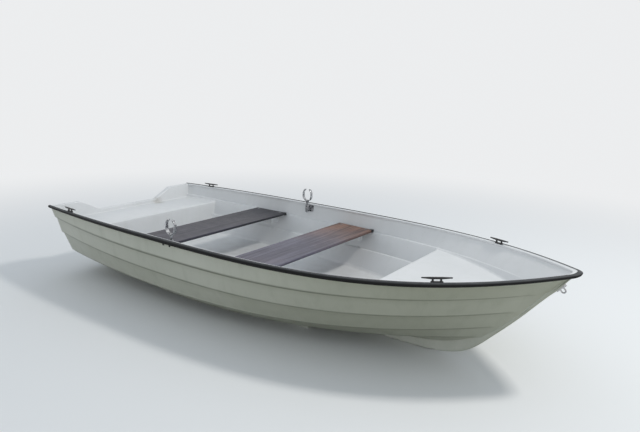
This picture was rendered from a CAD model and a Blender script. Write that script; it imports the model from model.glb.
import math
from collections import namedtuple

import bmesh
import bpy
import numpy as np
from mathutils import Matrix, Vector


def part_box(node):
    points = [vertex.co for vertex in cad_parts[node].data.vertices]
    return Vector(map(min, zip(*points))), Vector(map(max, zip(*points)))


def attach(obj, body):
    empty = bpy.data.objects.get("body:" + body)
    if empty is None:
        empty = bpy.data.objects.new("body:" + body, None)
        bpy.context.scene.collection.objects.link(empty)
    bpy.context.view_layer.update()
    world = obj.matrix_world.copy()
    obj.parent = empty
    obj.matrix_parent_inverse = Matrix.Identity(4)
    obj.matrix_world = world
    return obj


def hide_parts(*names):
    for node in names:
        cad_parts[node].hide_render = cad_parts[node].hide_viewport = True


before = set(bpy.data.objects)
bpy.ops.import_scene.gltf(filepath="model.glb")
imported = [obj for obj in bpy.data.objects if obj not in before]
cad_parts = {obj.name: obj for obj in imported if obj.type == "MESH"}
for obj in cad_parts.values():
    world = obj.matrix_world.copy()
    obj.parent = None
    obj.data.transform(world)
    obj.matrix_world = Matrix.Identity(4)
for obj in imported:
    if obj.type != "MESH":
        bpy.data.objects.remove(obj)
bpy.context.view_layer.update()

BOAT = "boat"
SIDES = (("port", 1), ("starboard", -1))

# The hull's long lines. Every x below is counted forward from the transom's foot.
HULL_LENGTH = 3.532
WIDEST_AT = 1.109
LOWEST_AT = 1.428
Line = namedtuple("Line", "half_aft half_mid low_aft low_mid end_x end_z fullness spring")
SHEER = Line(0.664, 0.731, 0.543, 0.548, 3.532, 0.635, 3.75, 3.2)
LAPS = (
    Line(0.634, 0.716, 0.449, 0.419, 3.385, 0.496, 3.32, 2.92),
    Line(0.591, 0.672, 0.328, 0.290, 3.291, 0.375, 2.94, 2.75),
    Line(0.518, 0.595, 0.174, 0.151, 3.191, 0.262, 2.38, 2.48),
    Line(0.359, 0.455, 0.129, 0.061, 3.101, 0.172, 1.99, 2.25),
)
KEEL_LINE = Line(0, 0, 0.105, 0.030, 3.101, 0.172, 1, 10.0)

# Skin and laps. A lap is flat at the first of LAP_FADE's distances from the stem and full at the second.
SKIN = 0.005
LAP_STEP = 0.011
LAP_ROUND = 0.0045
LAP_FADE = (0.015, 0.11)
LAP_LEFT = 0.08
PAST_CENTRE = 0.020
PAST_LAP = 0.050
UNDER_LAP = 0.025

# The nose's rounding in plan, and the distances at which the grime in a lap's hollow is nothing and is full
NOSE_ROUND = 0.084
NOSE_FADES_OVER = 0.09
NOSE_STARTS_BACK = 0.35
CREASE_FROM_HOLLOW = (0.016, 0.011)
CREASE_FROM_STEM = (0.05, 0.13)

# Rim and rail. The rim's outline is (inboard of the sheer, above the sheer).
RIM_WIDTH = 0.018
RIM_HEIGHT = 0.005
RIM_OUTLINE = ((0, -0.004), (0, 0.0004), (0.0026, 0.0010), (0.0120, 0.0010), (0.0154, 0.0004),
               (0.0172, -0.0008), (RIM_WIDTH, -0.0028), (RIM_WIDTH, -0.0100), (0.0150, -0.0125), (0.004, -0.0125))
RAIL_DROP = 0.026
RAIL_SLIMS_BY, RAIL_FULL_AT = 0.008, 1.5
RAIL_LAND = 0.0006
RAIL_RISE = 0.0045
RAIL_REACH = 0.0173
RAIL_PLUMB = (2.1, 2.9)
RAIL_SUNK = 0.001

# Transom. CUT_OUT is (half breadth, depth below the sheer) of the cut-out's corners.
TRANSOM_SLOPE = math.tan(math.radians(2.5))
TRANSOM_FOOT = 0.105
TRANSOM_THICKNESS = 0.040
TRANSOM_SIDE_SOFT, TRANSOM_TOP_SOFT = 0.0028, 0.007
CUT_OUT = ((0.435, 0.0), (0.269, 0.083))
CUT_OUT_ROUND = 0.015

# Keel and stem
KEEL_WIDTH = 0.032
KEEL_SOFT = 0.011
KEEL_SUNK = 0.003
KEEL_DEPTHS = (0.012, 0.2)
STEM_PROUD = 0.006
STEM_UNDER_RAIL = 0.006
SKEG_START = 0.060
FOREFOOT_START = 2.600
FOREFOOT_CURVE = ((2.76, 0.0035), (2.90, 0.022), (3.02, 0.068))

# Seats and sole
SOLE_HEIGHT = 0.172
BENCH_FRONT = 0.355
BENCH_HEIGHT = 0.428
BENCH_UPSTAND = 0.012
BENCH_CLEAR = 0.0005
BOW_SEAT_AFT = 2.529
BOW_SEAT_FORE = 3.322
BOW_SEAT_HEIGHT = 0.437
SEAT_ROUND = 0.013
UPSTAND_ROUND = 0.010
COVE = 0.012
WALL_COVE, SOLE_COVE = 0.009, 0.016
SHEET_OVERLAP = 0.002
SHEET_THICKNESS = 0.004
SHEET_STEP = 0.03
COVE_MARGIN = 0.006

# Thwarts as (name, aft edge, height of the top), and the bearers' fit under them
STERN_THWART_AFT = 0.828
THWARTS = (("stern", STERN_THWART_AFT, 0.441), ("centre", 1.661, 0.448))
THWART_WIDTH = 0.312
THWART_THICKNESS = 0.018
THWART_ROUND = 0.0055
THWART_END_SOFT = 0.004
THWART_CLEAR = 0.003
THWART_SEAT = 0.028
BEARER_SOFT, BEARER_LENGTH = 0.012, 0.60
RUNNER_SOFT = 0.005

# Domed heads as (radius, height), with the number of their sides where they aren't round
CLEAT_SCREW, EYE_SCREW = (0.0030, 0.0012), (0.0036, 0.0014)
BOLT_HEAD, NUT = (0.0058, 0.0038, 6), (0.0068, 0.0040)
THWART_CUP, THWART_SCREW = (0.0085, 0.0012), (0.0050, 0.0016)

# Cleats. The leg's profile is (radius, height).
CLEAT_LENGTH, CLEAT_HEIGHT = 0.150, 0.025
CLEAT_WAIST = 0.020
CLEAT_THICK, CLEAT_THIN = 0.006, 0.0035
CLEAT_LEG = ((0.0082, 0.0015), (0.0070, 0.0034), (0.0056, 0.0056), (0.0050, 0.0090), (0.0051, 0.0130),
             (0.0060, 0.0165), (0.0066, 0.0190))
CLEAT_LEGS_AT = 0.020
CLEAT_SCREWS_AT = 0.0075
CLEAT_FOOT = (0.062, 0.015, 0.0072, 6)
CLEAT_FOOT_SUNK, CLEAT_FOOT_SLAB = 0.005, (0.008, 0.0012)
HEADS_OUT = 0.003
CLEATS = (("stern", 0.281), ("bow", 2.970))

# Rowlocks. Profiles are (radius, height above the ground).
ROWLOCK_AT = 1.352
PIN_Y = 0.6889
RING_CENTRE, RING_RADIUS, RING_STRAIGHT = 0.622, 0.038, 0.009
RING_OPENS = 69
RING_BAND = (0.008, 0.024, 0.0038)
HORN_CLOSES_OVER, HORN_THINS_OVER, HORN_THINS_BY = 0.005, 0.05, 0.25
THROAT_FOOT, THROAT_RISE = 0.5405, 0.0360
THROAT_START, THROAT_WIDER, THROAT_DEEPER = 0.0066, 0.0104, 0.0024
COLLAR = ((0.0060, 0.5363), (0.0112, 0.5363), (0.0120, 0.5371), (0.0120, 0.5404), (0.0110, 0.5413),
          (0.0060, 0.5413))
PIN = ((0, 0.4772), (0.0050, 0.4772), (0.0064, 0.4788), (0.0065, 0.4800), (0.0065, 0.5385))

# Rowlock brackets. BOLTS_AT is counted from the plate's middle, and NUTS_AT from the ground.
SOCKET_TOP, SOCKET_FOOT = 0.5360, 0.4860
SOCKET_BORE, SOCKET_WALL = 0.0070, 0.0145
PLATE_TOP, PLATE_FOOT = 0.540, 0.488
PLATE_OUTLINE = (0.078, 0.058, 0.009, 5)
PLATE_THICKNESS, PLATE_SUNK, PLATE_EDGE = 0.0070, 0.0015, 0.0016
WEB_WIDTH, WEB_FLARE, WEB_STARTS_OUT = 0.022, 0.016, 0.008
WEB_LOWER, WEB_TAPER, WEB_ROUND = 0.004, 0.006, 0.005
BOLTS_AT = (0.028, 0.019)
BOLTS_OUT = 0.0055
NUTS_AT = 0.516

# Bow eye, drain plug, and the screws and clips of the thwarts
EYE_AT, EYE_ALONG = (3.4428, 0, 0.535), (0.6995, 0, 0.7146)
EYE_LET_IN = 0.003
EYE_ROD, EYE_BEND, EYE_STRAIGHT, EYE_HALFWAY = 0.004, 0.010, 0.016, 0.010
EYE_PLATE = (0.058, 0.018, 0.0088, 7)
EYE_PLATE_SUNK, EYE_PLATE_SLAB = 0.012, (0.015, 0.001)
EYE_SCREWS_AT = 0.0215
PLUG_HEIGHT = 0.155
PLUG_FLANGE = ((0.0180, -0.001), (0.0180, 0.0046), (0.0170, 0.0062), (0.0155, 0.0070), (0.0122, 0.0070),
               (0.0112, 0.0058), (0.0100, 0.0058), (0.0090, 0.0070), (0, 0.0070))
PLUG_KNOB = ((0.0078, 0.0060), (0.0070, 0.0080), (0.0068, 0.0155), (0.0058, 0.0168), (0, 0.0170))
SCREW_FROM_EDGE, SCREW_FROM_SIDE = 0.045, 0.055
CLIP_FROM_SIDE = 0.024
CLIP_ACROSS = (-0.014, -0.0135, 0.0135, 0.014)

# How far the frame's zero lies forward of the transom's foot
ORIGIN_X = STERN_THWART_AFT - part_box("thwart_stern")[0].x

# The camera, fitted to the photograph
CAMERA_PLACE = (4.00386 - ORIGIN_X, -2.91968, 1.50885)
CAMERA_YAW, CAMERA_PITCH, CAMERA_ROLL = (math.radians(a) for a in (-34.986, 13.284, 1.816))
LENS, SENSOR = 32.41, 36

# The studio: what is seen of the floor and backdrop, and what lights the boat
PALE = (0.84, 0.85, 0.86)
FLOOR_PALE = (0.85, 0.855, 0.86)
FLOOR_BOUNCE = (0.165, 0.182, 0.100)
FLOOR_HALF = 40
FLOOR_FADES = (2.2, 6.5)
SKY = (0.535, 0.585, 0.632)
SKY_LOW = (1.24, 1.24, 1.22)
SKY_LOW_TO = 0.42


def place_camera():
    """Aims by yaw from +Y, pitch below the horizon and roll about the line of sight."""
    yaw, pitch, roll, plumb = CAMERA_YAW, CAMERA_PITCH, CAMERA_ROLL, Vector((0, 0, 1))
    level = Vector((math.sin(yaw), math.cos(yaw), 0))
    side = Vector((math.cos(yaw), -math.sin(yaw), 0))
    ahead = level * math.cos(pitch) - plumb * math.sin(pitch)
    above = level * math.sin(pitch) + plumb * math.cos(pitch)
    right = side * math.cos(roll) + above * math.sin(roll)
    up = above * math.cos(roll) - side * math.sin(roll)
    data = bpy.data.cameras.new("camera")
    data.lens, data.sensor_width, data.clip_start, data.clip_end = LENS, SENSOR, 0.05, 200
    camera = bpy.data.objects.new("camera", data)
    turn = Matrix((right, up, -ahead)).transposed().to_4x4()
    camera.matrix_world = Matrix.Translation(CAMERA_PLACE) @ turn
    bpy.context.scene.collection.objects.link(camera)
    bpy.context.scene.camera = camera


place_camera()


# Short helpers for arrays
def eased(share):
    """A share from 0 to 1 that leaves and arrives gently: 3 s squared less 2 s cubed."""
    return share * share * (3 - 2 * share)


def between(value, low, high):
    """How far the value is on its way from low to high, held to 0 and 1."""
    return np.clip((value - low) / (high - low), 0, 1)


def together(*parts):
    """Points put together from their coordinates."""
    return np.stack(np.broadcast_arrays(*parts), -1)


def turned_left(vectors):
    """Each (a, b) vector turned a quarter to the left."""
    return together(-vectors[:, 1], vectors[:, 0])


def lengths(vectors):
    """Each row vector's length, as a column."""
    return np.linalg.norm(vectors, axis=1, keepdims=True)


def unit(*vector):
    """The vector at length one."""
    vector = np.array(vector, float)
    return vector / np.linalg.norm(vector)


def along_path(path):
    """Unit vectors along a path, from each point's two neighbours."""
    along = np.gradient(path, axis=0)
    return along / lengths(along)


def run_of(path):
    """The distance along a path at each of its points."""
    return np.concatenate([[0], np.cumsum(lengths(np.diff(path, axis=0)))])


def points_at(path, distances):
    """The path's points at distances along it."""
    return together(*(np.interp(distances, run_of(path), axis) for axis in path.T))


def quarter(steps=5):
    """Angles of a quarter turn."""
    return np.linspace(0, math.pi / 2, steps)


def circle(steps):
    """Angles of a whole turn, without its end."""
    return np.linspace(0, 2 * math.pi, steps, endpoint=False)


def on_circle(angle):
    """(cosine, sine) points."""
    return together(np.cos(angle), np.sin(angle))


def shifted(points):
    """Points counted from the transom's foot, moved into the frame."""
    return points - np.array([ORIGIN_X, 0, 0])


def placed(x, y, z):
    """One point counted from the transom's foot, moved into the frame."""
    return np.array([x - ORIGIN_X, y, z])


def raked(aft, z):
    """x at a height z on the raked plane that lies aft ahead of the transom's outer face."""
    return aft / math.cos(math.atan(TRANSOM_SLOPE)) - TRANSOM_SLOPE * (z - TRANSOM_FOOT)


def other_side(grid):
    """The mirror image about the centre plane."""
    return grid * np.array([1, -1, 1])


# The hull's form
def line_at(line, x):
    """(half breadth, height) of a long line: a parabola aft of its middle and a power curve ahead of it."""
    x = np.asarray(x, float)
    aft = np.maximum(WIDEST_AT - x, 0) / WIDEST_AT
    ahead = np.maximum(x - WIDEST_AT, 0) / (line.end_x - WIDEST_AT)
    y = line.half_mid * (1 - ahead ** line.fullness) - (line.half_mid - line.half_aft) * aft ** 2
    aft = np.maximum(LOWEST_AT - x, 0) / LOWEST_AT
    ahead = np.maximum(x - LOWEST_AT, 0) / (line.end_x - LOWEST_AT)
    z = line.low_mid + (line.low_aft - line.low_mid) * aft ** 2
    return together(y, z + (line.end_z - line.low_mid) * ahead ** line.spring)


def keel_edge(x):
    """The lowest plank's inner edge, carried past the centre plane."""
    low = line_at(LAPS[-1], x)
    y = np.minimum(-PAST_CENTRE, low[:, 0] - PAST_LAP)
    return together(y, np.minimum(line_at(KEEL_LINE, x)[:, 1], low[:, 1] - UNDER_LAP))


def lap_step(x, end):
    """The step in at a lap, which fades over the last hand's breadth before the stem."""
    x = np.asarray(x, float)
    stem = np.interp(0, -end[:, 0], x) if end[-1, 0] < 0 < end[0, 0] else HULL_LENGTH
    return LAP_STEP * (LAP_LEFT + (1 - LAP_LEFT) * eased(between(stem - x, *LAP_FADE)))


def planks(x):
    """Start, end, down and inward vectors of the five planks at every x. Each starts a lap's step inside the last."""
    start, found = line_at(SHEER, x), []
    for end in [line_at(lap, x) for lap in LAPS] + [keel_edge(x)]:
        down = (end - start) / lengths(end - start)
        inward = turned_left(-down)
        found.append((start, end, down, inward))
        start = end + inward * lap_step(x, end)[:, None]
    return found


def crossing(a, b):
    """Where the line from a to b meets the centre plane."""
    share = a[:, :1] / np.maximum(a[:, :1] - b[:, :1], 1e-6)
    return a + (b - a) * share


def half_section(x, skin):
    """Ten corners of the half section that lies a skin inside the planks, from the sheer to the centre plane."""
    shells = planks(x)
    corners = [shells[0][0] + shells[0][3] * skin]
    for (_, end, down, inward), (start, _, down_2, inward_2) in zip(shells, shells[1:]):
        corners += [end + (inward - down) * skin, start + (inward_2 - down_2) * skin]
    return corners + [crossing(corners[-1], shells[-1][1] + shells[-1][3] * skin)]


def read_off(corners, known, value, other):
    """The other coordinate where a section's straight runs pass a value of the known one, elsewhere as given."""
    for a, b in zip(corners, corners[1:]):
        share = (a[:, known] - value) / np.maximum(a[:, known] - b[:, known], 1e-6)
        within = (value <= a[:, known]) & (value > b[:, known])
        other = np.where(within, a[:, 1 - known] + (b - a)[:, 1 - known] * share, other)
    return other


def inside_at(x, z):
    """Half breadth of the hull's inside at each (x, z)."""
    corners = half_section(x, SKIN)
    return np.maximum(read_off(corners, 1, z, corners[0][:, 0]), 0)


def inside_point(x, z):
    """Half breadth of the hull's inside at one place."""
    return inside_at([x], z)[0]


def rounded(points, reach, cuts=4):
    """Each inner corner of a profile becomes a quadratic curve that starts and ends reach away from the corner."""
    out, most = [points[0]], 0.45
    for before, corner, after in zip(points, points[1:], points[2:]):
        start, end = (corner + way * np.minimum(reach / (lengths(way) + 1e-9), most)
                      for way in (before - corner, after - corner))
        for t in np.linspace(0, 1, cuts):
            out.append((1 - t) ** 2 * start + 2 * t * (1 - t) * corner + t ** 2 * end)
    return out + [points[-1]]


def refined(points):
    """A profile whose stretches over 30 mm get two points near each end, which keep them flat, and two between."""
    near, long, out = 0.005, 0.03, [points[0]]
    for a, b in zip(points, points[1:]):
        length = lengths(b - a)
        if length.max() > long:
            close = np.minimum(near / (length + 1e-9), 0.1)
            shares = (close, 2.2 * close, 0.35, 0.65, 1 - 2.2 * close, 1 - close)
            out += [a + (b - a) * share for share in shares]
        out.append(b)
    return out


# Stations at which profiles are worked out, closer together where the lines run in to the stem
FINE_X = np.concatenate([np.linspace(-0.09, 2.6, 500), np.linspace(2.604, HULL_LENGTH + 0.05, 700)])


def hull_profile(skin):
    """The half section over FINE_X with rounded laps."""
    return refined(rounded(half_section(FINE_X, skin), LAP_ROUND))


def along_boat(profile, aft, rows=220):
    """Carries a half profile forward until each of its points meets the centre plane at the stem.

    profile is a list of (y, z) arrays over FINE_X. Point j runs from the raked plane that lies aft ahead of
    the transom's outer face to the x where its own y falls to zero. A point on the centre plane stops with
    the one before it. The stations close up towards the bow.
    """
    y, z = (np.stack([p[:, k] for p in profile], 1) for k in (0, 1))
    points, on_centre, forward = len(profile), 1e-7, 2.0
    share = 1 - (1 - np.linspace(0, 1, rows)[:, None]) ** 1.35
    stop = np.empty(points)
    for j in range(points):
        past = np.nonzero((y[:, j] <= on_centre) & (FINE_X > forward))[0][0]
        y_0, y_1 = y[past - 1, j], y[past, j]
        part = max(y_0, 0) / max(y_0 - y_1, 1e-9)
        meets = FINE_X[past - 1] + (FINE_X[past] - FINE_X[past - 1]) * part
        stop[j] = stop[j - 1] if np.abs(y[:, j]).max() < on_centre else meets
    at_stern = np.array([np.interp(0, FINE_X, z[:, j]) for j in range(points)])
    begin = raked(aft, at_stern)
    x = begin + (stop - begin) * share
    grid = np.stack([together(x[:, j], np.interp(x[:, j], FINE_X, y[:, j]), np.interp(x[:, j], FINE_X, z[:, j]))
                     for j in range(points)], 1)
    grid[-1, :, 1] = 0
    grid[:, :, 1] = np.maximum(grid[:, :, 1], 0)
    return shifted(nosed(grid))


def nosed(points):
    """Rounds the nose in plan: each point near the tip moves aft by the gap from the sharp tip's line to an arc.

    The arc touches both sides of the tip, so the gap is (arc's centre to tip - y / slope) less the arc's own
    reach at that y. The move fades out down the stem.
    """
    slope = SHEER.half_mid * SHEER.fullness / (HULL_LENGTH - WIDEST_AT)
    sine = slope / math.hypot(1, slope)
    y = np.abs(points[..., 1])
    reach = NOSE_ROUND / sine - y / slope - np.sqrt(np.maximum(NOSE_ROUND ** 2 - y ** 2, 0))
    near = (y < NOSE_ROUND * math.sqrt(1 - sine ** 2)) & (points[..., 0] > HULL_LENGTH - NOSE_STARTS_BACK)
    top = SHEER.end_z - RAIL_DROP
    share = between(points[..., 2], top - NOSE_FADES_OVER, top)
    out = points.copy()
    out[..., 0] -= np.where(near, np.maximum(reach, 0), 0) * eased(share)
    return out


# Grids that the pieces are built of
def turned(profile, place, axis=(0, 0, 1), around=32):
    """A grid of revolution: each (radius, height) of the profile swept round the axis from its place."""
    profile, axis = np.array(profile, float), Vector(axis).normalized()
    side = axis.orthogonal().normalized()
    across, side, axis = np.array(axis.cross(side)), np.array(side), np.array(axis)
    angle = circle(around)
    ring = np.cos(angle)[:, None] * side + np.sin(angle)[:, None] * across
    return np.array(place) + profile[:, 0, None, None] * ring[None] + profile[:, 1, None, None] * axis


def swept(path, section, up):
    """A grid that carries a closed (across, up) section along a path, held square to it and to the up vector."""
    path, section = np.array(path, float), np.array(section, float)
    along = along_path(path)
    across = np.cross(along, np.broadcast_to(np.array(up, float), along.shape))
    across /= lengths(across)
    lift = np.cross(across, along)
    if section.ndim == 2:
        section = np.broadcast_to(section, (len(path), *section.shape))
    return path[:, None] + across[:, None] * section[:, :, :1] + lift[:, None] * section[:, :, 1:]


def round_rectangle(width, height, radius, cuts=4):
    """A closed (across, up) outline with rounded corners, counter-clockwise."""
    out = []
    for number, (sx, sy) in enumerate(((1, 1), (-1, 1), (-1, -1), (1, -1))):
        angle = math.pi / 2 * number + quarter(cuts + 1)
        out.append(np.array([sx * (width / 2 - radius), sy * (height / 2 - radius)]) + radius * on_circle(angle))
    return np.concatenate(out)


def slab(outline, place, across, up, thickness, edge):
    """Grid rows of a flat piece: the (across, up) outline rises from its foot, and its top edge rounds over."""
    across, up = np.array(across, float), np.array(up, float)
    normal, centre = np.cross(across, up), outline.mean(0)
    span = np.abs(outline - centre).max()
    rows = []
    for height, inset_by in [(0, 0.0)] + [(thickness - edge + edge * math.sin(a), edge * (1 - math.cos(a)))
                                          for a in quarter(4)]:
        ring = centre + (outline - centre) * (1 - inset_by / span)
        rows.append(np.array(place) + ring[:, :1] * across + ring[:, 1:] * up + height * normal)
    return np.stack(rows)


def dome(place, axis, radius, height, around=16):
    """A low domed head that stands on its place and is let 1 mm in."""
    turn = quarter()
    crown = together(radius * (0.55 + 0.45 * np.cos(turn)), height * (0.5 + 0.5 * np.sin(turn)))
    crown[-1, 0] = 0
    return turned(np.vstack([[(radius, -0.001), (radius, height * 0.3)], crown]), place, axis, around)


# Pieces
def quads(rows, columns, closed=False):
    """Corner numbers of a grid's quads. closed joins the last column to the first."""
    i, j = np.meshgrid(np.arange(rows - 1), np.arange(columns if closed else columns - 1), indexing="ij")
    k = (j + 1) % columns
    corners = [i * columns + j, i * columns + k, (i + 1) * columns + k, (i + 1) * columns + j]
    return np.stack(corners, -1).reshape(-1, 4)


def make_piece(name, grids, materials, body=BOAT, replaces=(), sharp=50, out=None, closed=False,
               caps=(), merge=2e-5, finish_of=None, even=True, marks=None):
    """Makes a piece of one or more grids, with seams merged, open loops in caps filled, and faces outward.

    caps holds (grid number, row) pairs. out is the way an open sheet faces; a closed piece needs none.
    finish_of gives, for each grid, the material number of each of its faces. marks names an attribute of the
    points and gives its value on each grid.
    """
    points, faces, finishes, start = [], [], [], 0
    for number, grid in enumerate(grids):
        rows, columns = grid.shape[:2]
        made = quads(rows, columns, closed) + start
        points.append(grid.reshape(-1, 3))
        faces += made.tolist()
        finishes += [0] * len(made) if finish_of is None else list(finish_of[number])
        for cap_grid, row in caps:
            if cap_grid == number:
                faces.append((np.arange(columns) + row % rows * columns + start).tolist())
                finishes.append(finishes[-1])
        start += rows * columns
    mesh = bpy.data.meshes.new(name)
    mesh.from_pydata(np.concatenate(points).tolist(), [], faces)
    mesh.polygons.foreach_set("material_index", np.array(finishes, np.int32))
    for mark, values in (marks or {}).items():
        layer = mesh.attributes.new(mark, "FLOAT", "POINT")
        layer.data.foreach_set("value", np.concatenate([np.ravel(v) for v in values]).astype(np.float32))
    return finish_piece(name, mesh, materials, body, replaces, sharp, out, merge, even)


def finish_piece(name, mesh, materials, body=BOAT, replaces=(), sharp=50, out=None, merge=2e-5,
                 even=True):
    """Merges doubles, turns faces outward, shades smooth but for edges over sharp degrees, and rides the piece."""
    bm = bmesh.new()
    bm.from_mesh(mesh)
    bmesh.ops.remove_doubles(bm, verts=bm.verts, dist=merge)
    bmesh.ops.dissolve_degenerate(bm, edges=bm.edges, dist=1e-6)
    if out is None:
        bmesh.ops.recalc_face_normals(bm, faces=bm.faces)
    else:
        total = sum((f.normal * f.calc_area() for f in bm.faces), Vector())
        if total.dot(Vector(out)) < 0:
            bmesh.ops.reverse_faces(bm, faces=bm.faces)
    for face in bm.faces:
        face.smooth = True
    for edge in bm.edges:
        if len(edge.link_faces) == 2:
            edge.smooth = edge.calc_face_angle(0) < math.radians(sharp)
    bm.to_mesh(mesh)
    bm.free()
    for material in materials if isinstance(materials, (list, tuple)) else [materials]:
        mesh.materials.append(material)
    piece = bpy.data.objects.new(name, mesh)
    bpy.context.scene.collection.objects.link(piece)
    if even:
        even_shading(piece)
    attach(piece, body)
    if replaces:
        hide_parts(*replaces)
    return piece


def even_shading(piece):
    """Shades by the larger faces, and keeps the sharp edges."""
    shading = piece.modifiers.new("even_shading", "WEIGHTED_NORMAL")
    shading.weight, shading.keep_sharp = 80, True


def assembled(name, grids, material, body=BOAT, replaces=(), rings=(), sharp=40):
    """One piece from grids that are closed round. rings are the numbers of those with no caps at their ends."""
    caps = [(number, row) for number in range(len(grids)) if number not in rings for row in (0, -1)]
    return make_piece(name, grids, material, body, replaces, sharp, closed=True, caps=caps, merge=1e-6)


# Materials
class Nodes:
    """A node tree, with short ways to place noise, ramps and mixes on Object coordinates."""

    def __init__(self, tree):
        self.tree = tree
        self.place = self.node("ShaderNodeTexCoord").outputs["Object"]

    def node(self, kind, **settings):
        node = self.tree.nodes.new(kind)
        for name, value in settings.items():
            setattr(node, name, value)
        return node

    def join(self, source, target):
        self.tree.links.new(source, target)

    def fill(self, sockets, values):
        """Joins or sets each socket, as its value is another socket or a number."""
        for socket, value in zip(sockets, values):
            if isinstance(value, bpy.types.NodeSocket):
                self.join(value, socket)
            else:
                socket.default_value = (*value, 1) if isinstance(value, tuple) else value

    def scaled(self, scale):
        """Object coordinates, stretched."""
        node = self.node("ShaderNodeMapping")
        node.inputs["Scale"].default_value = scale
        self.join(self.place, node.inputs["Vector"])
        return node.outputs["Vector"]

    def noise(self, scale, detail=4.0, rough=0.55, distortion=0.0, vector=None):
        node = self.node("ShaderNodeTexNoise")
        sockets = [node.inputs[name] for name in ("Scale", "Detail", "Roughness", "Distortion")]
        self.fill(sockets, (scale, detail, rough, distortion))
        self.join(vector or self.place, node.inputs["Vector"])
        return node.outputs["Fac"]

    def ramp(self, source, *stops):
        """A ramp from (position, grey or colour) stops."""
        node = self.node("ShaderNodeValToRGB")
        while len(node.color_ramp.elements) < len(stops):
            node.color_ramp.elements.new(0.5)
        for element, (position, colour) in zip(node.color_ramp.elements, stops):
            element.position = position
            element.color = (*colour, 1) if isinstance(colour, tuple) else (colour, colour, colour, 1)
        self.join(source, node.inputs["Fac"])
        return node.outputs["Color"]

    def rise(self, source, low, high):
        """A ramp from black at low to white at high."""
        return self.ramp(source, (low, 0.0), (high, 1.0))

    def mix(self, share, a, b):
        node = self.node("ShaderNodeMix", data_type="RGBA")
        self.fill((node.inputs[0], node.inputs[6], node.inputs[7]), (share, a, b))
        return node.outputs[2]

    def math(self, operation, a, b, clamp=False):
        node = self.node("ShaderNodeMath", operation=operation, use_clamp=clamp)
        self.fill(node.inputs, (a, b))
        return node.outputs[0]

    def times(self, a, b):
        return self.math("MULTIPLY", a, b)

    def span(self, source, low, high, to_low=0.0, to_high=1.0):
        """The source's run from low to high, brought to 0 to 1 or to another run, and held at its ends."""
        node = self.node("ShaderNodeMapRange")
        self.fill(node.inputs, (source, low, high, to_low, to_high))
        return node.outputs[0]

    def axis(self, name, source=None):
        node = self.node("ShaderNodeSeparateXYZ")
        self.join(source or self.place, node.inputs[0])
        return node.outputs[name]

    def facing(self, name):
        """How far the surface faces along an axis."""
        return self.axis(name, self.node("ShaderNodeNewGeometry").outputs["Normal"])

    def seen(self):
        """One where the ray comes from the camera, a mirror or glass, and zero where it carries plain light."""
        rays = self.node("ShaderNodeLightPath").outputs
        direct = self.math("ADD", rays["Is Camera Ray"], rays["Is Glossy Ray"], clamp=True)
        return self.math("ADD", direct, rays["Is Transmission Ray"], clamp=True)


class Finish(Nodes):
    """A material of one shader, with short ways to join its colour, roughness and relief."""

    def __init__(self, name, colour, roughness, metallic=0.0, **sockets):
        self.material = bpy.data.materials.new(name)
        self.material.use_nodes = True
        super().__init__(self.material.node_tree)
        self.shader = self.tree.nodes["Principled BSDF"]
        self.material.diffuse_color = (*colour, 1)
        self.shader.inputs["Base Color"].default_value = (*colour, 1)
        self.shader.inputs["Roughness"].default_value = roughness
        self.shader.inputs["Metallic"].default_value = metallic
        for socket, value in sockets.items():
            self.shader.inputs[socket.replace("_", " ")].default_value = value

    def colour(self, source):
        self.join(source, self.shader.inputs["Base Color"])

    def roughness(self, source, low, high):
        self.join(self.span(source, 0, 1, low, high), self.shader.inputs["Roughness"])

    def bump(self, *layers):
        """Stacks (height source, distance in metres) layers."""
        last = None
        for source, distance in layers:
            node = self.node("ShaderNodeBump")
            node.inputs["Strength"].default_value = 1.0
            node.inputs["Distance"].default_value = distance
            self.join(source, node.inputs["Height"])
            if last is not None:
                self.join(last, node.inputs["Normal"])
            last = node.outputs["Normal"]
        self.join(last, self.shader.inputs["Normal"])


OUTER_WHITE, OUTER_AGED = (0.74, 0.750, 0.710), (0.67, 0.685, 0.640)
INNER_WHITE, INNER_AGED = (0.74, 0.750, 0.760), (0.69, 0.700, 0.710)
STAIN_BROWN = (0.27, 0.22, 0.15)
WATER_GREY = (0.44, 0.47, 0.41)
LAP_GRIME = (0.13, 0.14, 0.11)
SMUDGE_AT = (0.045 - ORIGIN_X, 0.285, 0.435)
SMUDGE_SIZE = 0.065


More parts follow.
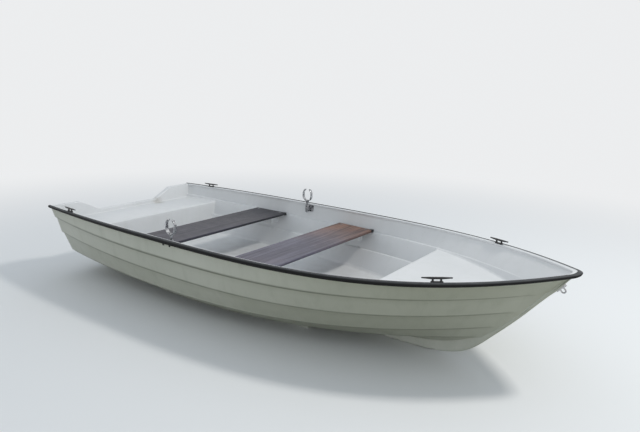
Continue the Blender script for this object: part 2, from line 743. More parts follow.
def gelcoat(name, inside):
    """Aged white gelcoat: broad cloudy tone, faint run-down streaks, specks of dirt, and orange peel.

    Outside, the "crease" attribute draws the grime line under each lap, and a water film greys the bottom.
    Inside, dirt gathers on the sole, and the bench has one smudge.
    """
    white, aged = (INNER_WHITE, INNER_AGED) if inside else (OUTER_WHITE, OUTER_AGED)
    f = Finish(name, white, 0.38, Coat_Weight=0.12, Coat_Roughness=0.15, Specular_IOR_Level=0.4)
    clouds = f.noise(2.2, 5)
    streaks = f.noise(1.0, 5, 0.6, vector=f.scaled((16, 16, 1.6)))
    specks = f.noise(140, 2)
    grime = f.noise(9, 6, 0.65)
    shade = f.mix(f.rise(clouds, 0.35, 0.72), white, aged)
    streaks = f.times(f.rise(streaks, 0.50, 0.74), 0.10 if inside else 0.22)
    shade = f.mix(streaks, shade, WATER_GREY)
    shade = f.mix(f.times(f.rise(specks, 0.70, 0.80), 0.40), shade, STAIN_BROWN)
    if inside:
        low = f.span(f.axis("Z"), 0.30, 0.17)
        flat = f.span(f.facing("Z"), 0.6, 0.95)
        dirt = f.times(f.times(low, flat), f.rise(grime, 0.45, 0.72))
        shade = f.mix(f.times(dirt, 0.12), shade, STAIN_BROWN)
        away = f.node("ShaderNodeVectorMath", operation="DISTANCE")
        away.inputs[1].default_value = SMUDGE_AT
        f.join(f.place, away.inputs[0])
        ragged = f.math("ADD", away.outputs["Value"], f.span(f.noise(26, 4, 0.7), 0.3, 0.7, -0.03, 0.03))
        shade = f.mix(f.times(f.span(ragged, SMUDGE_SIZE, 0.0), 0.4), shade, STAIN_BROWN)
    else:
        low = f.span(f.axis("Z"), 0.34, 0.06)
        film = f.times(low, f.ramp(grime, (0.30, 0.35), (0.70, 1.0)))
        shade = f.mix(f.times(film, 0.45), shade, WATER_GREY)
        crease = f.node("ShaderNodeAttribute", attribute_name="crease").outputs["Fac"]
        line = f.times(crease, f.ramp(f.noise(12, 4), (0.25, 0.75), (0.65, 1.0)))
        shade = f.mix(f.times(line, 0.78), shade, LAP_GRIME)
    f.colour(shade)
    f.roughness(grime, 0.32, 0.52)
    f.bump((f.noise(260, 2), 0.00012), (f.noise(7, 3), 0.0009))
    return f.material


def rubber():
    """Black rubber rail, greyed on top by weather, with fine grain and faint cross scuffs."""
    clean, dusty, grainy = (0.008, 0.008, 0.009), (0.088, 0.091, 0.097), (0.03, 0.03, 0.031)
    f = Finish("black_rubber", (0.013, 0.013, 0.014), 0.6, Specular_IOR_Level=0.22)
    grain = f.noise(420, 3)
    worn = f.noise(30, 5, 0.65, vector=f.scaled((1, 1, 3)))
    top = f.span(f.facing("Z"), 0.1, 0.95)
    shade = f.mix(f.times(top, f.ramp(worn, (0.30, 0.55), (0.70, 1.0))), clean, dusty)
    f.colour(f.mix(f.times(f.rise(grain, 0.55, 0.8), 0.5), shade, grainy))
    f.roughness(worn, 0.5, 0.72)
    f.bump((grain, 0.00012), (worn, 0.0004))
    return f.material


def stained_wood(name, near, far, along):
    """Varnished boards: long grain across the boat, growth bands, pores, and a tone that shifts along the board.

    near and far are (dark, light) pairs of the grain's colours at the starboard and port ends, and along gives
    the Y of both ends of the shift.
    """
    f = Finish(name, near[0], 0.42, Coat_Weight=0.08, Coat_Roughness=0.2, Specular_IOR_Level=0.25)
    fine = f.noise(1.0, 6, 0.65, 0.4, f.scaled((150, 4.0, 150)))
    broad = f.noise(1.0, 4, 0.6, 0.9, f.scaled((30, 1.1, 30)))
    pores = f.noise(1.0, 2, 0.5, 0.0, f.scaled((900, 26, 900)))
    tone = f.noise(3.0, 3)
    figure = f.math("ADD", f.times(fine, 0.30), f.times(broad, 0.70))
    grains = [f.ramp(figure, (0.42, dark), (0.50, tuple((a + b) / 2 for a, b in zip(dark, light))), (0.58, light))
              for dark, light in (near, far)]
    end = f.math("ADD", f.span(f.axis("Y"), *along), f.span(tone, 0.3, 0.7, -0.15, 0.15), clamp=True)
    pore_colour = tuple(c * 0.35 for c in near[0])
    f.colour(f.mix(f.times(f.rise(pores, 0.58, 0.70), 0.45), f.mix(end, *grains), pore_colour))
    f.roughness(f.noise(14, 5, 0.6), 0.34, 0.56)
    f.bump((fine, 0.00035), (pores, 0.00012))
    return f.material


def metal(name, colour, rough_low, rough_high, dull):
    """Bright metal with dull patches, smears and small pits."""
    f = Finish(name, colour, rough_low, 1.0)
    patches = f.noise(70, 4, 0.6, 1.5)
    f.colour(f.mix(f.rise(patches, 0.42, 0.60), colour, dull))
    f.roughness(f.noise(16, 4), rough_low, rough_high)
    f.bump((f.noise(500, 3), 0.00006), (patches, 0.00025))
    return f.material


def plastic():
    """Moulded black plastic with a fine grain and greyed high spots."""
    black, greyed = (0.012, 0.012, 0.013), (0.045, 0.046, 0.048)
    f = Finish("black_plastic", black, 0.38)
    worn = f.noise(45, 5, 0.6)
    f.colour(f.mix(f.rise(worn, 0.5, 0.8), black, greyed))
    f.roughness(worn, 0.28, 0.5)
    grain = f.noise(600, 2)
    f.bump((grain, 0.00008))
    return f.material


OUTSIDE = gelcoat("gelcoat_outside", False)
INSIDE = gelcoat("gelcoat_inside", True)
RUBBER = rubber()
STERN_WOOD = stained_wood("stern_thwart_wood", ((0.024, 0.023, 0.034), (0.056, 0.053, 0.076)),
                          ((0.016, 0.016, 0.020), (0.040, 0.040, 0.048)), (-0.1, 0.7))
CENTRE_WOOD = stained_wood("centre_thwart_wood", ((0.068, 0.064, 0.090), (0.142, 0.136, 0.182)),
                           ((0.064, 0.038, 0.031), (0.255, 0.145, 0.105)), (0.0, 0.65))
BRIGHT_STEEL = metal("bright_steel", (0.60, 0.61, 0.63), 0.18, 0.40, (0.11, 0.115, 0.125))
STAINLESS = metal("stainless", (0.56, 0.56, 0.56), 0.14, 0.30, (0.33, 0.33, 0.34))
PLASTIC = plastic()


# Hull skin, one closed shell from the inside of the keel over the sheer to the outside
def lap_creases(outer):
    """One near each lap's hollow, and falling to zero away from it and towards the stem."""
    crease, corners = np.zeros(outer.shape[:2]), half_section(FINE_X, 0)
    for k, lap in enumerate(LAPS):
        hollow = shifted(np.column_stack([FINE_X, corners[2 * k + 2]]))
        y, z = (np.interp(outer[..., 0], hollow[:, 0], hollow[:, axis]) for axis in (1, 2))
        away = np.hypot(outer[..., 2] - z, outer[..., 1] - y)
        fade = between(lap.end_x - ORIGIN_X - outer[..., 0], *CREASE_FROM_STEM)
        crease = np.maximum(crease, between(away, *CREASE_FROM_HOLLOW) * fade)
    return crease


def hull_skin():
    """The rounded inner and outer half sections carried along the boat, and joined at the sheer and the transom."""
    inner, outer = (along_boat(hull_profile(skin), TRANSOM_THICKNESS) for skin in (SKIN, 0))
    shell = np.concatenate([inner[:, ::-1], outer], 1)
    end = np.stack([inner[0], outer[0]])
    inside = np.arange(shell.shape[1] - 1) < inner.shape[1] - 1
    finish = [np.tile(inside.astype(int), len(shell) - 1), np.zeros(inner.shape[1] - 1, int)]
    crease = np.concatenate([np.zeros(inner.shape[:2]), lap_creases(outer)], 1)
    bare = np.zeros(end.shape[:2])
    return make_piece("hull_skin", [shell, end, other_side(shell), other_side(end)], [OUTSIDE, INSIDE],
                      replaces=["hull_shell"], sharp=75, finish_of=finish * 2,
                      marks={"crease": [crease, bare, crease, bare]})


hull_skin()


# Rim and rub rail along the sheer
def sheer_stretch():
    """How much wider a strip of constant width is in a section than square to the sheer."""
    return np.hypot(1, np.gradient(line_at(SHEER, FINE_X)[:, 0], FINE_X))


def along_sheer(name, profile, material, node):
    """A closed half profile carried along both sides of the sheer."""
    grid = along_boat(profile, 0)
    return make_piece(name, [grid, other_side(grid)], material, replaces=[node], closed=True,
                      caps=[(0, 0), (1, 0)], sharp=60)


def rim_strip():
    """A capping strip with a rounded top, from the sheer inward by the rim's width."""
    sheer, stretch = line_at(SHEER, FINE_X), sheer_stretch()
    profile = [sheer + together(-across * stretch, up) for across, up in RIM_OUTLINE]
    return along_sheer("rim_strip", profile, INSIDE, "rim")


def rail_strip():
    """A D-shaped rubber section: its crown reaches out level from the top plank's line, or from plumb at the bow."""
    sheer, outward, x = line_at(SHEER, FINE_X), together(sheer_stretch(), 0), FINE_X[:, None]
    _, _, down, inward = planks(FINE_X)[0]
    top = sheer + np.array([0, RAIL_RISE])
    foot = sheer + down * (RAIL_DROP - RAIL_SLIMS_BY * between(x, RAIL_FULL_AT, 0)) - inward * RAIL_LAND
    plumb = foot + (sheer - foot) * [1, 0] * eased(between(x, *RAIL_PLUMB))
    middle, half = (top + plumb) / 2, (top - plumb) / 2
    profile = [foot + inward * RAIL_SUNK]
    for angle in np.radians(np.linspace(-90, 90, 19)):
        reach = RAIL_REACH * max(math.cos(angle), 0) ** 0.66
        rise = math.copysign(abs(math.sin(angle)) ** 0.85, angle)
        profile.append(middle + half * rise + outward * reach)
    profile.append(top + inward * RAIL_SUNK)
    return along_sheer("rub_rail_strip", profile, RUBBER, "rub_rail")


rim_strip()
rail_strip()


# Transom, cut down in the middle, with soft edges
def transom_outline(aft):
    """The closed (x, y, z) outline at the raked plane that lies aft ahead of the outer face: hull, then top edge."""
    half = along_boat(hull_profile(0), aft, rows=2)[0]
    (wide, _), (narrow, depth) = CUT_OUT
    y_s, z_s = half[0, 1], half[0, 2]
    corners = [(y_s, z_s), (wide, z_s), (narrow, z_s - depth), (0, z_s - depth)]
    top = np.concatenate(rounded([np.array([p], float) for p in corners], CUT_OUT_ROUND, 7))[1:]
    top = np.concatenate([top, top[-2::-1] * [-1, 1]])
    top = np.column_stack([raked(aft, top[:, 1]) - ORIGIN_X, top])
    return np.concatenate([half[::-1], top, other_side(half)[:-1]]), len(half), len(top)


def inset(outline, distance):
    """Moves each point of a closed (x, y, z) outline into it, square to its edge in Y and Z, by its own distance."""
    flat = outline[:, 1:]
    along = np.roll(flat, -1, 0) - np.roll(flat, 1, 0)
    along /= lengths(along) + 1e-12
    normal = turned_left(along)
    area = np.sum(flat[:, 0] * np.roll(flat[:, 1], -1) - np.roll(flat[:, 0], -1) * flat[:, 1])
    out = outline.copy()
    out[:, 1:] += normal * (np.sign(area) * distance)[:, None]
    out[:, 0] -= TRANSOM_SLOPE * (out[:, 2] - outline[:, 2])
    return out


def transom_board():
    """Rows of the outline from the inner face to the outer one, drawn in round each face's edge by a quarter turn."""
    aft, sides, tops = transom_outline(0)
    fore, _, _ = transom_outline(TRANSOM_THICKNESS)
    on_top = np.zeros(len(aft), bool)
    on_top[sides:sides + tops] = True
    inner_soft = np.where(on_top, TRANSOM_TOP_SOFT, 0.0)
    outer_soft = np.where(on_top, TRANSOM_TOP_SOFT, TRANSOM_SIDE_SOFT)
    rows = []
    for outline, soft, way in ((fore, inner_soft, -1), (aft, outer_soft, 1)):
        for turn in quarter()[::way]:
            ring = inset(outline, soft * (1 - math.cos(turn)))
            ring[:, 0] += way * soft * (1 - math.sin(turn))
            rows.append(ring)
    piece = assembled("transom_board", [np.stack(rows)], [OUTSIDE, INSIDE], replaces=["transom"], sharp=60)
    # The faces that look forward or up are finished as the inside
    faces = piece.data.polygons
    normal = np.empty(3 * len(faces), np.float32)
    faces.foreach_get("normal", normal)
    x, _, z = normal.reshape(-1, 3).T
    faces.foreach_set("material_index", ((x > 0.3) | (z > 0.5)).astype(np.int32))


transom_board()


# Keel, skeg, forefoot and stem bar in one band
def hull_trace(half):
    """The (x, z) line where the hull's outside is half wide, from the stern along the bottom and up the stem."""
    x = np.linspace(SKEG_START - 0.01, HULL_LENGTH - 0.002, 900)
    z = read_off(half_section(x, 0), 0, half, np.nan)
    return together(x, z)[~np.isnan(z)]


def keel_face():
    """The band's outer line in the centre plane: level along the ground, then a smooth curve up through the stem."""
    proud = STEM_PROUD * math.sin(math.radians(45))
    stem = np.array([(lap.end_x + proud, lap.end_z - proud) for lap in reversed(LAPS)])
    head = np.array([HULL_LENGTH + proud, SHEER.end_z - proud])
    top = SHEER.end_z - RAIL_DROP - STEM_UNDER_RAIL
    head = stem[-1] + (head - stem[-1]) * (top - stem[-1][1]) / (head[1] - stem[-1][1])
    guide = np.vstack([[(FOREFOOT_START, 0)], FOREFOOT_CURVE, stem, head])
    curve = points_at(guide, np.linspace(0, run_of(guide)[-1], 90))
    for _ in range(60):
        curve[1:-1] = (curve[:-2] + 2 * curve[1:-1] + curve[2:]) / 4
    level = together(np.linspace(SKEG_START, FOREFOOT_START, 30)[:-1], 0)
    return np.vstack([level, curve])


def keel_band():
    """Rows across the band: from the hull at its half width, round two soft corners, and back to the hull."""
    face, trace = keel_face(), hull_trace(KEEL_WIDTH / 2)
    along = along_path(face)
    inward = turned_left(along)
    offset = trace[None] - face[:, None]
    astray = np.abs((offset * along[:, None]).sum(-1)) + 10 * np.maximum(-(offset * inward[:, None]).sum(-1), 0)
    depth = (offset[np.arange(len(face)), astray.argmin(1)] * inward).sum(-1).clip(*KEEL_DEPTHS)
    depth = np.convolve(np.pad(depth, 2, mode="edge"), np.ones(5) / 5, mode="valid") + KEEL_SUNK
    half, turn = KEEL_WIDTH / 2, quarter()
    edge, lift = half - KEEL_SOFT * (1 - np.cos(turn)), KEEL_SOFT * (1 - np.sin(turn))
    across = np.concatenate([[-half, -half], -edge, [0], edge[::-1], [half, half]])
    rise = np.concatenate([[1, 0.5], lift, [0], lift[::-1], [0.5, 1]])
    of_depth = np.ones(len(rise), bool)
    of_depth[2:-2] = False
    back = np.where(of_depth[None], rise[None] * depth[:, None], rise[None])
    grid = together(face[:, :1] + inward[:, :1] * back, across, face[:, 1:] + inward[:, 1:] * back)
    return make_piece("keel_band", [shifted(nosed(grid))], OUTSIDE, replaces=["keel_and_stem"],
                      closed=True, caps=[(0, 0), (0, -1)], sharp=60)


keel_band()


# Moulded bench, sole and bow seat
def bent(points, radii):
    """A path of (x, z) points whose inner corners are rounded, each by its own radius."""
    points, cuts = [np.array(p, float) for p in points], 8
    out = [points[0][None]]
    for before, corner, after, radius in zip(points, points[1:], points[2:], radii):
        back, ahead = unit(*(before - corner)), unit(*(after - corner))
        half = math.acos(np.clip(back @ ahead, -1, 1)) / 2
        centre = corner + unit(*(back + ahead)) * radius / math.sin(half)
        start, end = corner + back * radius / math.tan(half), corner + ahead * radius / math.tan(half)
        a_0, a_1 = (math.atan2(*(p - centre)[::-1]) for p in (start, end))
        sweep = (a_1 - a_0 + math.pi) % (2 * math.pi) - math.pi
        out.append(centre + radius * on_circle(a_0 + sweep * np.linspace(0, 1, cuts)))
    return np.concatenate(out + [points[-1][None]])


def dense(path, step):
    """A path with its long stretches divided into steps."""
    out = [path[:1]]
    for a, b in zip(path, path[1:]):
        parts = max(1, int(math.ceil(np.linalg.norm(b - a) / step)))
        out.append(a + (b - a) * (np.arange(1, parts + 1) / parts)[:, None])
    return np.concatenate(out)


def moulding(name, path, node, out, cove=WALL_COVE):
    """A moulded sheet across the boat from one side's skin to the other's.

    The path gives its line fore and aft. At each point of it the sheet runs straight across, then rises square
    to the path in a quarter-round cove to meet the hull's inside, and ends 2 mm within the skin.
    """
    path = dense(np.array(path), SHEET_STEP)
    along = along_path(path)
    lift = turned_left(along)
    reach = np.concatenate([[-SHEET_OVERLAP], cove * (1 - np.cos(quarter(7))), [cove + COVE_MARGIN]])
    arc = cove - np.sqrt(np.maximum(cove ** 2 - (cove - np.maximum(reach, 0)) ** 2, 0))
    columns = []
    for distance, rise in zip(reach, np.where(reach < cove, arc, 0.0)):
        x, z = (path + lift * rise).T
        columns.append(together(x, np.maximum(inside_at(x, z) - distance, 0), z))
    wall = columns[-1][:, 1]
    for share in (0.75, 0.5, 0.25, 0.0):
        columns.append(together(path[:, 0], wall * share, path[:, 1]))
    half = np.stack(columns, 1)
    grid = np.concatenate([half, other_side(half[:, -2::-1])], 1)
    piece = make_piece(name, [shifted(grid)], INSIDE, replaces=[node], out=out, sharp=80, even=False)
    sheet = piece.modifiers.new("thickness", "SOLIDIFY")
    sheet.thickness, sheet.offset = SHEET_THICKNESS, -1
    return piece


transom_face = TRANSOM_THICKNESS + BENCH_CLEAR + raked(0, BENCH_HEIGHT + 0.03)
bench_path = bent([(transom_face, BENCH_HEIGHT + BENCH_UPSTAND), (transom_face + BENCH_CLEAR, BENCH_HEIGHT),
                   (BENCH_FRONT, BENCH_HEIGHT), (BENCH_FRONT, SOLE_HEIGHT),
                   (BENCH_FRONT + COVE + SHEET_OVERLAP, SOLE_HEIGHT)], (UPSTAND_ROUND, SEAT_ROUND, COVE))
sole_path = [(BENCH_FRONT + COVE, SOLE_HEIGHT), (BOW_SEAT_AFT - COVE, SOLE_HEIGHT)]
bow_path = bent([(BOW_SEAT_AFT - COVE - SHEET_OVERLAP, SOLE_HEIGHT), (BOW_SEAT_AFT, SOLE_HEIGHT),
                 (BOW_SEAT_AFT, BOW_SEAT_HEIGHT), (BOW_SEAT_FORE, BOW_SEAT_HEIGHT)], (COVE, SEAT_ROUND))
moulding("bench_moulding", bench_path, "stern_bench", (1, 0, 1))
moulding("sole_moulding", sole_path, "sole", (0, 0, 1), cove=SOLE_COVE)
moulding("bow_seat_moulding", bow_path, "bow_seat", (-1, 0, 1))


# Thwarts, boards with rounded edges and ends cut to the hull's side
def thwart_board(name, aft, height, material):
    """The rounded rectangle section carried across the boat between the ends, which follow the inside at the foot."""
    section = round_rectangle(THWART_WIDTH, THWART_THICKNESS, THWART_ROUND, 5)
    centre = np.array([aft + THWART_WIDTH / 2, height - THWART_THICKNESS / 2])
    x, z = (centre + section).T
    wall = inside_at(x, height - THWART_SEAT) - THWART_CLEAR
    rows = []
    for turn in quarter():
        drawn = centre + section * (1 - THWART_END_SOFT * (1 - math.sin(turn)) / np.abs(section).max(0))
        rows.append(together(drawn[:, 0], wall - THWART_END_SOFT * (1 - math.cos(turn)), drawn[:, 1]))
    half = np.stack(rows + [together(x, wall * share, z) for share in (0.7, 0.35, 0.0)])
    grid = np.concatenate([half, other_side(half[-2::-1])])
    assembled(f"thwart_board_{name}", [shifted(grid)], material, replaces=[f"thwart_{name}"], sharp=60)


for thwart, wood in zip(THWARTS, (STERN_WOOD, CENTRE_WOOD)):
    thwart_board(*thwart, wood)


# Bearers and bilge runners, which keep the solids' own form
def softened(node, width, material, lift=0.0, length=1.0):
    """A merged copy of a moulded node's mesh with rounded edges, its top raised by lift and its length scaled."""
    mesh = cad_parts[node].data.copy()
    mesh.materials.clear()
    bm = bmesh.new()
    bm.from_mesh(mesh)
    bmesh.ops.remove_doubles(bm, verts=bm.verts, dist=2e-5)
    bmesh.ops.dissolve_limit(bm, angle_limit=math.radians(3), verts=bm.verts, edges=bm.edges)
    bm.to_mesh(mesh)
    bm.free()
    points = np.empty(3 * len(mesh.vertices), np.float32)
    mesh.vertices.foreach_get("co", points)
    points = points.reshape(-1, 3)
    points[points[:, 2] > points[:, 2].max() - 0.001, 2] += lift
    middle = points[:, 0].mean()
    points[:, 0] = middle + (points[:, 0] - middle) * length
    mesh.vertices.foreach_set("co", points.ravel())
    mesh.update()
    piece = finish_piece(f"{node}_moulding", mesh, material, replaces=[node], sharp=60, even=False)
    bevel = piece.modifiers.new("soft_edges", "BEVEL")
    bevel.width, bevel.segments, bevel.angle_limit = width, 4, math.radians(40)
    even_shading(piece)


for name, _, _ in THWARTS:
    softened(f"thwart_bearers_{name}", BEARER_SOFT, INSIDE, THWART_SEAT - THWART_THICKNESS, BEARER_LENGTH)
for side_name, _ in SIDES:
    softened(f"bilge_runner_{side_name}", RUNNER_SOFT, OUTSIDE)


# Cleats on the rim
def rim_seat(x, side):
    """Middle of the rim's top at x, with unit vectors along the rim, across it and up from it."""
    step = 0.001
    (y_0, z_0), (y, z), (y_1, z_1) = line_at(SHEER, [x - step, x, x + step])
    slope, rise = (y_1 - y_0) / (2 * step), (z_1 - z_0) / (2 * step)
    origin = placed(x, side * (y - math.hypot(1, slope) * RIM_WIDTH / 2), z + RIM_HEIGHT)
    along, up = unit(1, side * slope, rise), unit(-rise, 0, 1)
    return origin, along, np.cross(up, along), up


def cleat(name, x, side):
    """A horn cleat: a horn of oval sections that thin to rounded tips, two flared legs and a thin foot."""
    origin, along, across, up = rim_seat(x, side)
    half = CLEAT_LENGTH / 2
    s = half * np.sin(np.linspace(-math.pi / 2, math.pi / 2, 41))
    share = between(np.abs(s), half, CLEAT_WAIST)
    radius = CLEAT_THIN + (CLEAT_THICK - CLEAT_THIN) * eased(share)
    radius *= np.sqrt(1 - between(np.abs(s), half - CLEAT_THIN, half) ** 2)
    height = CLEAT_HEIGHT - CLEAT_THICK + 0.7 * (CLEAT_THICK - CLEAT_THIN) * (1 - share)
    oval = on_circle(circle(16)) * [1.15, 1]
    horn = swept(origin + s[:, None] * along + height[:, None] * up, radius[:, None, None] * oval, up)
    foot = slab(round_rectangle(*CLEAT_FOOT), origin - CLEAT_FOOT_SUNK * up, along, across, *CLEAT_FOOT_SLAB)
    legs = [turned(CLEAT_LEG, origin + way * CLEAT_LEGS_AT * along, up, 20) for way in (-1, 1)]
    assembled(f"{name}_horn", [horn, foot, *legs], PLASTIC, replaces=[name], sharp=60)
    heads = [dome(origin + way * CLEAT_SCREWS_AT * along + HEADS_OUT * up, up, *CLEAT_SCREW) for way in (-1, 1)]
    assembled(f"{name}_screws", heads, STAINLESS)


for end_name, cleat_at in CLEATS:
    for side_name, side in SIDES:
        cleat(f"cleat_{end_name}_{side_name}", cleat_at, side)


# Rowlocks and their brackets
def rowlock(side_name, side):
    """A cast rowlock: an open ring of flat band with rounded horns, a throat of oval sections, a collar and a pin."""
    axis = placed(ROWLOCK_AT, side * PIN_Y, 0.0)
    right = RING_RADIUS * on_circle(np.radians(np.linspace(RING_OPENS, 0, 12))) + [0, RING_STRAIGHT]
    under = RING_RADIUS * on_circle(np.radians(np.linspace(0, -180, 33))) - [0, RING_STRAIGHT]
    ring = np.concatenate([right, under, (right * [-1, 1])[::-1]])
    path = axis + together(ring[:, 0], 0, RING_CENTRE + ring[:, 1])
    length = run_of(path)[-1]
    even = np.linspace(0, 1, 90)
    even = length * np.concatenate([[0, 0.002, 0.006], even[1:-1], [0.994, 0.998, 1]])
    from_end = np.minimum(even, length - even)
    close = np.sqrt(1 - between(from_end, HORN_CLOSES_OVER, 0) ** 2)
    belly = 1 - HORN_THINS_BY * between(from_end, HORN_THINS_OVER, 0)
    ovals = round_rectangle(*RING_BAND) * together(close, close * belly)[:, None]
    band = swept(points_at(path, even), ovals, (0, 1, 0))
    share = np.linspace(0, 1, 9)[:, None]
    wide, deep = THROAT_START + THROAT_WIDER * share ** 2.2, THROAT_START + THROAT_DEEPER * share
    turn = circle(28)
    throat = axis + together(wide * np.cos(turn), deep * np.sin(turn), THROAT_FOOT + THROAT_RISE * share)
    grids = [band, throat, turned(COLLAR, axis, around=32), turned(PIN, axis, around=28)]
    assembled(f"rowlock_casting_{side_name}", grids, BRIGHT_STEEL, f"rowlock_{side_name}_swinging",
              [f"rowlock_{side_name}"])


def socket(side_name, side):
    """A bored boss on a flared web and a plate that lies on the hull's side, with four bolts through to outside."""
    axis = placed(ROWLOCK_AT, side * PIN_Y, 0.0)
    bore, wall, top, foot = SOCKET_BORE, SOCKET_WALL, SOCKET_TOP, SOCKET_FOOT
    boss = turned([(bore, foot), (wall - 0.001, foot), (wall, foot + 0.001), (wall, top - 0.0014),
                   (wall - 0.0012, top), (bore + 0.0006, top), (bore, top - 0.0006), (bore, foot)], axis, around=40)
    high, low = (np.array([ROWLOCK_AT, side * inside_point(ROWLOCK_AT, z), z]) for z in (PLATE_TOP, PLATE_FOOT))
    rise, across = unit(*(high - low)), np.array([side * 1.0, 0, 0])
    inboard = np.cross(across, rise)
    middle = shifted((high + low) / 2)
    plate = slab(round_rectangle(*PLATE_OUTLINE), middle - PLATE_SUNK * inboard, across, rise, PLATE_THICKNESS,
                 PLATE_EDGE)
    web = []
    for share in np.linspace(0, 1, 6):
        tall = top - foot - WEB_LOWER - WEB_TAPER * share ** 2
        ring = round_rectangle(WEB_WIDTH + WEB_FLARE * share ** 2, tall, WEB_ROUND)
        start = PIN_Y + WEB_STARTS_OUT
        y = side * (start + share * (abs(middle[1]) - start))
        web.append(together(axis[0] + ring[:, 0], y, (top + foot) / 2 + ring[:, 1]))
    bolts = [dome(middle + a * across + b * rise + BOLTS_OUT * inboard, inboard, *BOLT_HEAD)
             for a in (-BOLTS_AT[0], BOLTS_AT[0]) for b in (-BOLTS_AT[1], BOLTS_AT[1])]
    assembled(f"rowlock_bracket_{side_name}", [boss, plate, np.stack(web), *bolts], BRIGHT_STEEL,
              replaces=[f"rowlock_socket_{side_name}"], rings=(0,))
    nuts = []
    for x in (ROWLOCK_AT - BOLTS_AT[0], ROWLOCK_AT + BOLTS_AT[0]):
        (y_0, z_0), (y_1, z_1) = line_at(SHEER, [x])[0], line_at(LAPS[0], [x])[0]
        y = y_0 + (y_1 - y_0) * (z_0 - NUTS_AT) / (z_0 - z_1)
        out = unit(0, side * (z_0 - z_1), -(y_0 - y_1))
        nuts.append(dome(placed(x, side * y, NUTS_AT), out, *NUT))
    assembled(f"rowlock_bolt_heads_{side_name}", nuts, PLASTIC)


for side_name, side in SIDES:
    rowlock(side_name, side)
    socket(side_name, side)


# Bow eye and drain plug
def bow_eye():
    """A bent rod on a rounded plate that lies on the stem bar, with a screw at each end of the plate."""
    along = unit(*EYE_ALONG)
    out = np.array([along[2], 0, -along[0]])
    origin = placed(*EYE_AT) - EYE_LET_IN * out
    bend = EYE_BEND * on_circle(np.linspace(math.pi, 0, 17)) + [0, EYE_STRAIGHT]
    left, right = (((way * EYE_BEND, 0.0), (way * EYE_BEND, EYE_HALFWAY)) for way in (-1, 1))
    bend = np.concatenate([left, bend, right[::-1]])
    rod = swept(origin + bend[:, :1] * along + bend[:, 1:] * out, EYE_ROD * on_circle(circle(16)), (0, 1, 0))
    foot = origin - EYE_PLATE_SUNK * out
    plate = slab(round_rectangle(*EYE_PLATE), foot, along, np.cross(out, along), *EYE_PLATE_SLAB)
    heads = [dome(origin + way * EYE_SCREWS_AT * along + HEADS_OUT * out, out, *EYE_SCREW) for way in (-1, 1)]
    assembled("bow_eye_rod", [rod, plate, *heads], STAINLESS, replaces=["bow_eye"], sharp=50)


def drain_plug():
    """A flanged plug low in the transom with a grooved face and a six-sided knob."""
    place = placed(raked(0, PLUG_HEIGHT), 0, PLUG_HEIGHT)
    aft = -unit(1, 0, TRANSOM_SLOPE)
    grids = [turned(PLUG_FLANGE, place, aft, 48), turned(PLUG_KNOB, place, aft, 6)]
    assembled("drain_plug_flange", grids, PLASTIC, replaces=["drain_plug"])


bow_eye()
drain_plug()


# Screws and clips that hold the thwarts
def thwart_fixings(name, aft, height):
    """Cupped screws near the board's corners, and a dark clip over its forward edge at each end."""
    screws, clips, up, deep = [], [], (0, 0, 1), THWART_THICKNESS
    fore = aft + THWART_WIDTH
    hook = np.array([(-0.022, 0.0024), (0.0004, 0.0024), (0.0020, 0.0008), (0.0024, -0.0010), (0.0024, -deep),
                     (-0.0004, -deep), (-0.0004, -0.0004), (-0.022, -0.0004)])
    for _, side in SIDES:
        for x in (aft + SCREW_FROM_EDGE, fore - SCREW_FROM_EDGE):
            place = placed(x, side * (inside_point(x, height) - SCREW_FROM_SIDE), height)
            screws += [dome(place, up, *THWART_CUP), dome(place + [0, 0, 0.0010], up, *THWART_SCREW)]
        y = side * (inside_point(fore, height - deep) - CLIP_FROM_SIDE)
        clip = [together(fore + hook[:, 0], y + across, height + hook[:, 1]) for across in CLIP_ACROSS]
        clips.append(shifted(np.stack(clip)))
    assembled(f"thwart_screws_{name}", screws, STAINLESS)
    assembled(f"thwart_clips_{name}", clips, PLASTIC)


for thwart in THWARTS:
    thwart_fixings(*thwart)


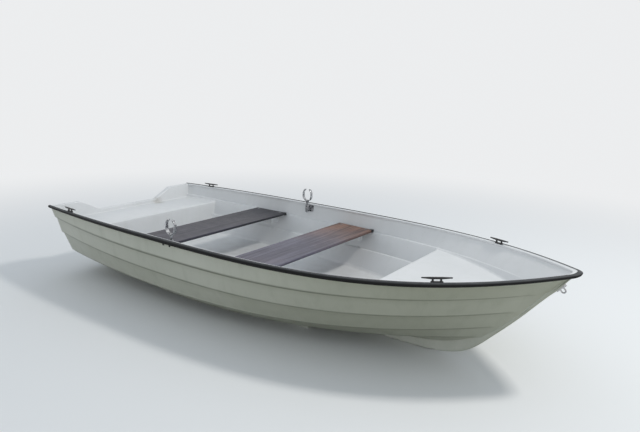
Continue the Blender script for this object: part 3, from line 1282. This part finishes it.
# Floor, backdrop and light
def backdrop():
    """A wide level floor, pale where it is seen, that fades with distance into the world's own pale tone."""
    f = Finish("studio_floor", FLOOR_PALE, 0.9, Specular_IOR_Level=0.1)
    f.colour(f.mix(f.seen(), FLOOR_BOUNCE, FLOOR_PALE))
    away = f.node("ShaderNodeVectorMath", operation="LENGTH")
    f.join(f.place, away.inputs[0])
    fade = f.node("ShaderNodeMapRange", interpolation_type="SMOOTHSTEP")
    f.fill(fade.inputs, (away.outputs["Value"], *FLOOR_FADES))
    glow, mixed = f.node("ShaderNodeEmission"), f.node("ShaderNodeMixShader")
    glow.inputs["Color"].default_value = (*PALE, 1)
    share = f.times(fade.outputs["Result"], f.seen())
    f.fill(mixed.inputs, (share, f.shader.outputs[0], glow.outputs[0]))
    f.join(mixed.outputs[0], f.tree.nodes["Material Output"].inputs["Surface"])
    mesh = bpy.data.meshes.new("studio_floor")
    corners = [(FLOOR_HALF * x, FLOOR_HALF * y, 0) for x, y in ((-1, -1), (1, -1), (1, 1), (-1, 1))]
    mesh.from_pydata(corners, [], [(0, 1, 2, 3)])
    mesh.materials.append(f.material)
    floor = bpy.data.objects.new("studio_floor", mesh)
    bpy.context.scene.collection.objects.link(floor)


def studio_sky():
    """A cool sky of soft light that brightens towards the floor's edge, and the backdrop's pale tone where seen."""
    world = bpy.data.worlds.new("studio_sky")
    world.use_nodes = True
    f = Nodes(world.node_tree)
    background = f.tree.nodes["Background"].inputs
    glow = f.mix(f.span(f.axis("Z"), 0, SKY_LOW_TO), SKY_LOW, SKY)
    f.join(f.mix(f.seen(), glow, PALE), background["Color"])
    background["Strength"].default_value = 1.0
    bpy.context.scene.world = world


def soft_light(name, place, aim, size, power, colour):
    """A square area lamp at a place, turned to its aim."""
    data = bpy.data.lights.new(name, "AREA")
    data.energy, data.size, data.color = power, size, colour
    lamp = bpy.data.objects.new(name, data)
    lamp.location = place
    lamp.rotation_mode = "QUATERNION"
    lamp.rotation_quaternion = (Vector(aim) - Vector(place)).to_track_quat("-Z", "Y")
    bpy.context.scene.collection.objects.link(lamp)


backdrop()
studio_sky()
soft_light("key", (3.5, 1.6, 5.7), (0, 0, 0.3), 0.8, 160, (1.0, 0.98, 0.93))

bpy.context.scene.view_settings.view_transform = "Standard"
